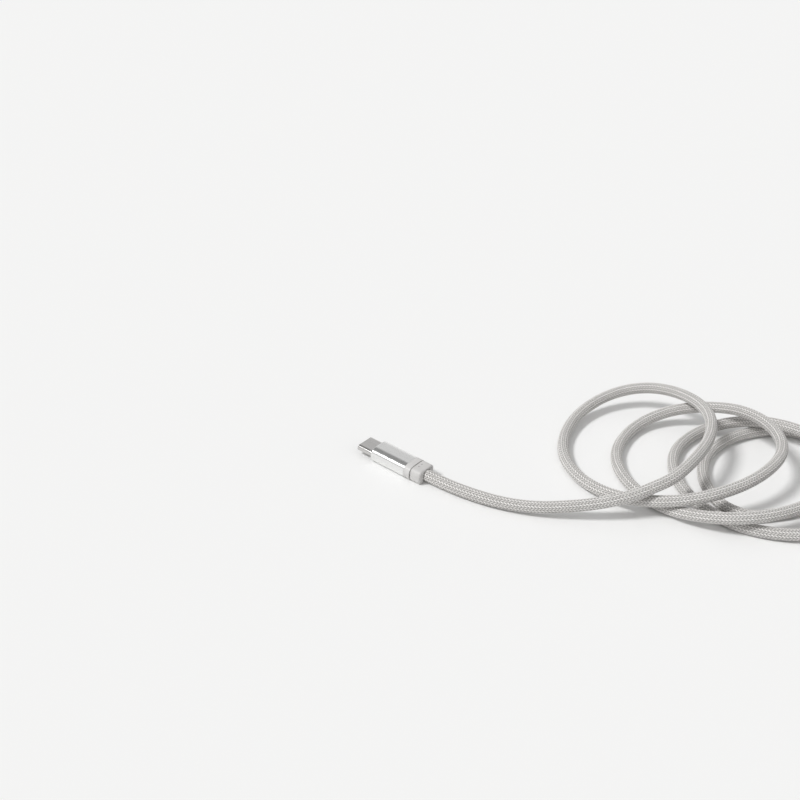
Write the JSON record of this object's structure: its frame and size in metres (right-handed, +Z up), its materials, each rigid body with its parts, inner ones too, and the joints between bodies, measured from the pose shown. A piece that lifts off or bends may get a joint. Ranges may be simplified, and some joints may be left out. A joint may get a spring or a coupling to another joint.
{
  "type": "charging cable",
  "caption": "Braided charging cable with a metal-sleeved reversible plug on each end, lying in loose loops.",
  "frame": {"origin": "under the middle of the near plug, on the surface that the cable lies on", "axes": "+X along the near plug from its mating end towards the cord, +Y across the plug, +Z up"},
  "size_m": [0.2151, 0.1303, 0.0176],
  "materials": {
    "shell_steel": "drawn stainless steel, satin",
    "housing_plastic": "moulded black liquid crystal polymer",
    "contact_gold": "gold-plated copper alloy",
    "latch_steel": "stamped spring steel",
    "card_laminate": "solder-masked glass laminate",
    "chip_plastic": "moulded chip package",
    "capacitor_ceramic": "ceramic, unglazed",
    "power_insulation": "red insulation",
    "ground_insulation": "black insulation",
    "data_insulation": "white insulation",
    "config_insulation": "blue insulation",
    "shield_brass": "tinned brass sheet",
    "mould_plastic": "low-pressure moulded polyethylene",
    "jacket_rubber": "thermoplastic elastomer jacket",
    "sleeve_aluminium": "fine blasted and anodised, satin silver",
    "collar_plastic": "light grey, fine matt texture",
    "relief_plastic": "light grey elastomer, fine matt texture",
    "cord_braid": "woven light grey and white yarn sleeve"
  },
  "bodies": {
    "root": {"near_plug_shell": "shell_steel", "near_contact_housing": "housing_plastic", "near_upper_contacts": "contact_gold", "near_lower_contacts": "contact_gold", "near_latch_plate": "latch_steel", "near_ground_pads": "latch_steel", "near_circuit_card": "card_laminate", "near_marker_chip": "chip_plastic", "near_capacitors": "capacitor_ceramic", "near_power_wire": "power_insulation", "near_ground_wire": "ground_insulation", "near_data_wires": "data_insulation", "near_config_wire": "config_insulation", "near_upper_shield": "shield_brass", "near_lower_shield": "shield_brass", "near_crimp_ferrule": "shield_brass", "near_inner_mould": "mould_plastic", "near_cord_jacket": "jacket_rubber", "near_metal_sleeve": "sleeve_aluminium", "near_collar": "collar_plastic", "near_strain_relief": "relief_plastic", "far_plug_shell": "shell_steel", "far_contact_housing": "housing_plastic", "far_upper_contacts": "contact_gold", "far_lower_contacts": "contact_gold", "far_latch_plate": "latch_steel", "far_ground_pads": "latch_steel", "far_circuit_card": "card_laminate", "far_marker_chip": "chip_plastic", "far_capacitors": "capacitor_ceramic", "far_power_wire": "power_insulation", "far_ground_wire": "ground_insulation", "far_data_wires": "data_insulation", "far_config_wire": "config_insulation", "far_upper_shield": "shield_brass", "far_lower_shield": "shield_brass", "far_crimp_ferrule": "shield_brass", "far_inner_mould": "mould_plastic", "far_cord_jacket": "jacket_rubber", "far_metal_sleeve": "sleeve_aluminium", "far_collar": "collar_plastic", "far_strain_relief": "relief_plastic", "cord_lead": "cord_braid", "cord_coil": "cord_braid", "cord_tail": "cord_braid"}
  },
  "joints": []
}
